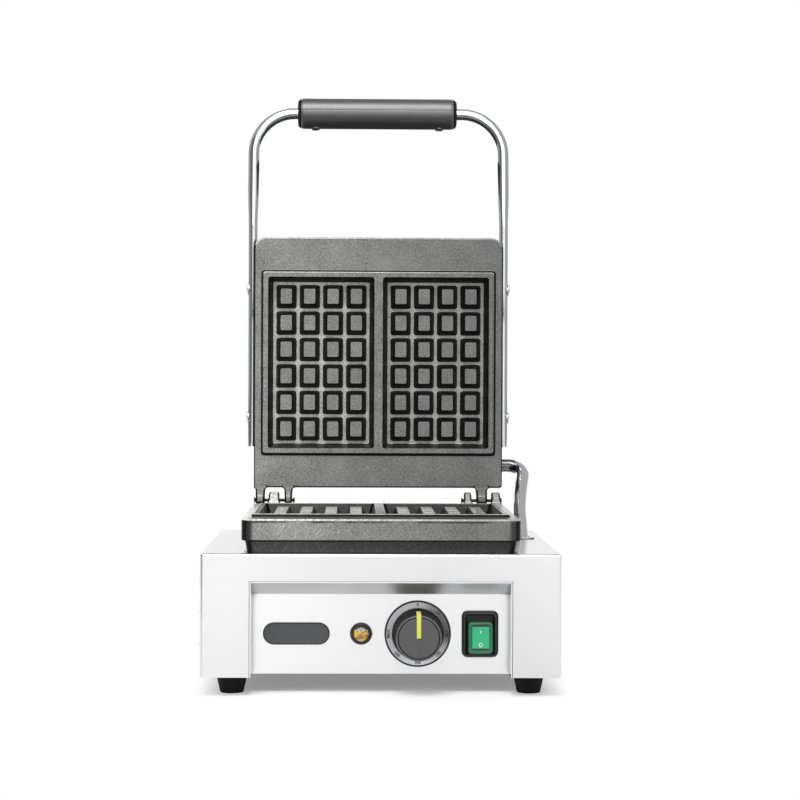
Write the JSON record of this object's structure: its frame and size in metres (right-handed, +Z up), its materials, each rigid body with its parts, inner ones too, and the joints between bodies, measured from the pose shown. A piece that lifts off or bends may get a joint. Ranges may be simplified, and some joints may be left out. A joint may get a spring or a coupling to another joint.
{
  "type": "liege waffle maker",
  "caption": "Countertop iron for liege waffles: steel base with recessed thermostat and rocker switch, hinged cast plates and a U-shaped tube handle on the lid.",
  "frame": {"origin": "on the table, under the middle of the machine's box with its lid open", "axes": "+Z up, -Y towards the user, +X to the user's right"},
  "size_m": [0.313, 0.324, 0.5406],
  "materials": {
    "stainless": "polished stainless sheet",
    "panel_steel": "satin stainless sheet",
    "iron": "dark machined cast iron",
    "chrome": "chromed steel tube",
    "conduit_steel": "polished steel tube",
    "zinc": "bright zinc plated",
    "dial_aluminium": "spun brushed",
    "bakelite": "satin black bakelite",
    "rubber": "matt black",
    "yellow_insert": "painted line",
    "green_rocker": "translucent green",
    "amber_lens": "clear amber",
    "badge": "bare dark plate",
    "mineral_wool": "fibrous",
    "element_sheath": "heat-stained sheath",
    "inner_plastic": "moulded"
  },
  "bodies": {
    "base": {"base_housing": "stainless", "front_panel": "panel_steel", "rear_panel": "stainless", "bottom_plate": "stainless", "foot_front_left": "rubber", "foot_front_right": "rubber", "foot_rear_left": "rubber", "foot_rear_right": "rubber", "foot_screw_front_left": "zinc", "foot_screw_front_right": "zinc", "foot_screw_rear_left": "zinc", "foot_screw_rear_right": "zinc", "lower_plate": "iron", "lower_element": "element_sheath", "lower_clamp_plate": "stainless", "lower_insulation": "mineral_wool", "lower_heat_shield": "stainless", "plate_bracket_front": "stainless", "plate_bracket_rear": "stainless", "hinge_pin_right": "zinc", "conduit_washer": "zinc", "dial_ring": "dial_aluminium", "thermostat_body": "inner_plastic", "thermostat_capillary": "zinc", "lamp_bezel": "bakelite", "lamp_lens": "amber_lens", "lamp_body": "inner_plastic", "switch_frame": "bakelite", "badge_plate": "badge", "cord_gland": "bakelite", "gland_nut": "bakelite", "terminal_block": "inner_plastic"},
    "lid": {"upper_plate": "iron", "upper_element": "element_sheath", "upper_clamp_plate": "stainless", "upper_insulation": "mineral_wool", "lid_cover": "stainless", "lid_cover_screw_1": "zinc", "lid_cover_screw_2": "zinc", "lid_cover_screw_3": "zinc", "lid_cover_screw_4": "zinc", "hinge_pin_left": "zinc", "handle_tube": "chrome", "handle_bolt_upper_left": "zinc", "handle_bolt_upper_right": "zinc", "handle_bolt_lower_left": "zinc", "handle_bolt_lower_right": "zinc", "grip_outer_half": "bakelite", "grip_inner_half": "bakelite", "grip_screw_left": "zinc", "grip_screw_right": "zinc", "conduit_bush": "zinc"},
    "conduit": {"conduit_tube": "conduit_steel"},
    "knob": {"control_knob": "bakelite", "knob_pointer": "yellow_insert", "thermostat_shaft": "zinc"},
    "rocker": {"switch_rocker": "green_rocker"}
  },
  "joints": [
    {"name": "lid_hinge", "type": "hinge", "parent": "base", "child": "lid", "pos_m": [0, 0.10295, 0.15225], "axis": [1, 0, 0], "range_deg": [0, 90]},
    {"name": "conduit_swivel", "type": "hinge", "parent": "lid", "child": "conduit", "pos_m": [0.1, 0.13175, 0.18475], "axis": [1, 0, 0], "range_deg": [-60, 0]},
    {"name": "knob_turn", "type": "hinge", "parent": "base", "child": "knob", "pos_m": [0.0317, -0.12305, 0.0504], "axis": [0, 1, 0], "range_deg": [0, 270]},
    {"name": "rocker_tilt", "type": "hinge", "parent": "base", "child": "rocker", "pos_m": [0.085, -0.11855, 0.0504], "axis": [1, 0, 0], "range_deg": [0, 14]}
  ],
  "couplings": [
    {"joint": "conduit_swivel", "follows": "lid_hinge", "ratio": -0.6538}
  ]
}
